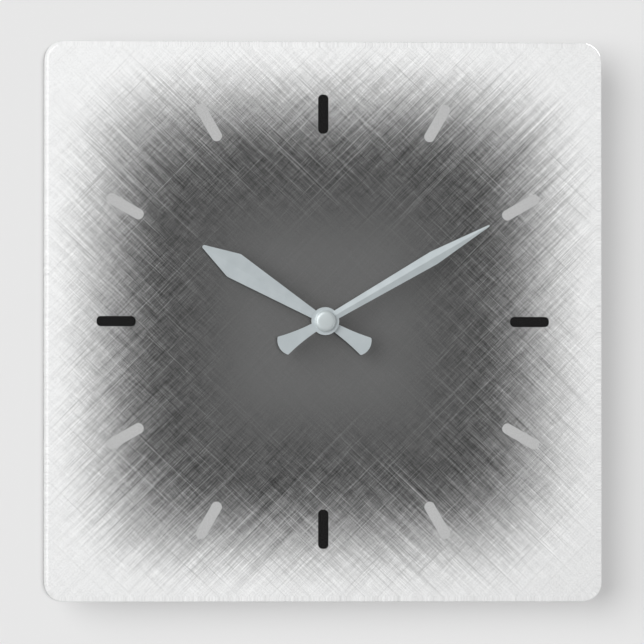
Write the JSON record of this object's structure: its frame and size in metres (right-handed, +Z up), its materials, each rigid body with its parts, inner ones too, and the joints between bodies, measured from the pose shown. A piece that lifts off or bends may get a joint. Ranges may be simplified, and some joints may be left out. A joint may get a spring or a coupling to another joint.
{
  "type": "square wall clock",
  "caption": "Square frameless wall clock: clear panel printed on its back, bar hour marks, two pointed hands and a battery movement with a hanger behind.",
  "frame": {"origin": "centre of the hanger hole, on the wall plane (the movement's back face)", "axes": "+Y into the wall, so the dial faces -Y; +Z up; +X to the right of someone reading the clock"},
  "size_m": [0.273, 0.0318, 0.273],
  "materials": {
    "acrylic": "clear cast acrylic, polished",
    "print": "printed film, satin back",
    "hand_metal": "satin silver",
    "brass": "machined",
    "rubber": "matt",
    "case_plastic": "moulded, fine grain",
    "knob_plastic": "moulded",
    "gear_plastic": "moulded",
    "bobbin_plastic": "moulded",
    "magnet": "sintered",
    "iron": "stamped",
    "copper": "enamelled copper wire",
    "board": "resin board",
    "resin": "cast resin",
    "plated_steel": "nickel plated",
    "cell_wrap": "shrunk film"
  },
  "bodies": {
    "clock": {"acrylic_panel": "acrylic", "dial_print": "print", "rubber_washer": "rubber", "brass_washer": "brass", "hex_nut": "brass", "threaded_bushing": "brass", "case_body": "case_plastic", "front_cover": "case_plastic", "train_bridge": "gear_plastic", "stator": "iron", "coil_core": "iron", "coil_bobbin": "bobbin_plastic", "coil_winding": "copper", "coil_leads": "copper", "circuit_board": "board", "chip_blob": "resin", "quartz_crystal": "plated_steel", "positive_contact": "plated_steel", "negative_contact": "plated_steel"},
    "cell": {"cell_can": "plated_steel", "cell_sleeve": "cell_wrap"},
    "rotor": {"rotor_magnet": "magnet", "rotor_pinion": "gear_plastic"},
    "third": {"third_wheel": "gear_plastic"},
    "seconds": {"seconds_wheel": "gear_plastic"},
    "intermediate": {"intermediate_wheel": "gear_plastic"},
    "centre": {"centre_wheel": "gear_plastic"},
    "motion": {"motion_wheel": "gear_plastic", "set_knob": "knob_plastic"},
    "minute": {"minute_arbor": "gear_plastic", "minute_hand": "hand_metal", "centre_cap": "hand_metal"},
    "hour": {"hour_wheel": "gear_plastic", "hour_hand": "hand_metal"}
  },
  "joints": [
    {"name": "minute_hand_turn", "type": "hinge", "parent": "clock", "child": "minute", "pos_m": [0, 0, -0.034], "axis": [0, 1, 0], "continuous": true},
    {"name": "hour_hand_turn", "type": "hinge", "parent": "clock", "child": "hour", "pos_m": [0, 0, -0.034], "axis": [0, 1, 0], "continuous": true},
    {"name": "set_knob_turn", "type": "hinge", "parent": "clock", "child": "motion", "pos_m": [0, 0, -0.023], "axis": [0, 1, 0], "continuous": true},
    {"name": "seconds_wheel_turn", "type": "hinge", "parent": "clock", "child": "seconds", "pos_m": [-0.0173, 0, -0.03558], "axis": [0, 1, 0], "continuous": true},
    {"name": "rotor_turn", "type": "hinge", "parent": "clock", "child": "rotor", "pos_m": [-0.01622, 0, -0.0221], "axis": [0, 1, 0], "continuous": true},
    {"name": "third_wheel_turn", "type": "hinge", "parent": "clock", "child": "third", "pos_m": [-0.01855, 0, -0.02849], "axis": [0, 1, 0], "continuous": true},
    {"name": "intermediate_wheel_turn", "type": "hinge", "parent": "clock", "child": "intermediate", "pos_m": [-0.01007, 0, -0.03365], "axis": [0, 1, 0], "continuous": true},
    {"name": "centre_wheel_turn", "type": "hinge", "parent": "clock", "child": "centre", "pos_m": [0, 0, -0.034], "axis": [0, 1, 0], "continuous": true},
    {"name": "cell_removal", "type": "slide", "parent": "clock", "child": "cell", "axis": [0, 1, 0], "range_m": [0, 0.03]}
  ],
  "couplings": [
    {"joint": "hour_hand_turn", "follows": "minute_hand_turn", "ratio": 0.083333},
    {"joint": "set_knob_turn", "follows": "minute_hand_turn", "ratio": -0.33333},
    {"joint": "rotor_turn", "follows": "seconds_wheel_turn", "ratio": 30},
    {"joint": "third_wheel_turn", "follows": "seconds_wheel_turn", "ratio": -4},
    {"joint": "intermediate_wheel_turn", "follows": "seconds_wheel_turn", "ratio": -0.13333},
    {"joint": "centre_wheel_turn", "follows": "seconds_wheel_turn", "ratio": 0.016667}
  ]
}
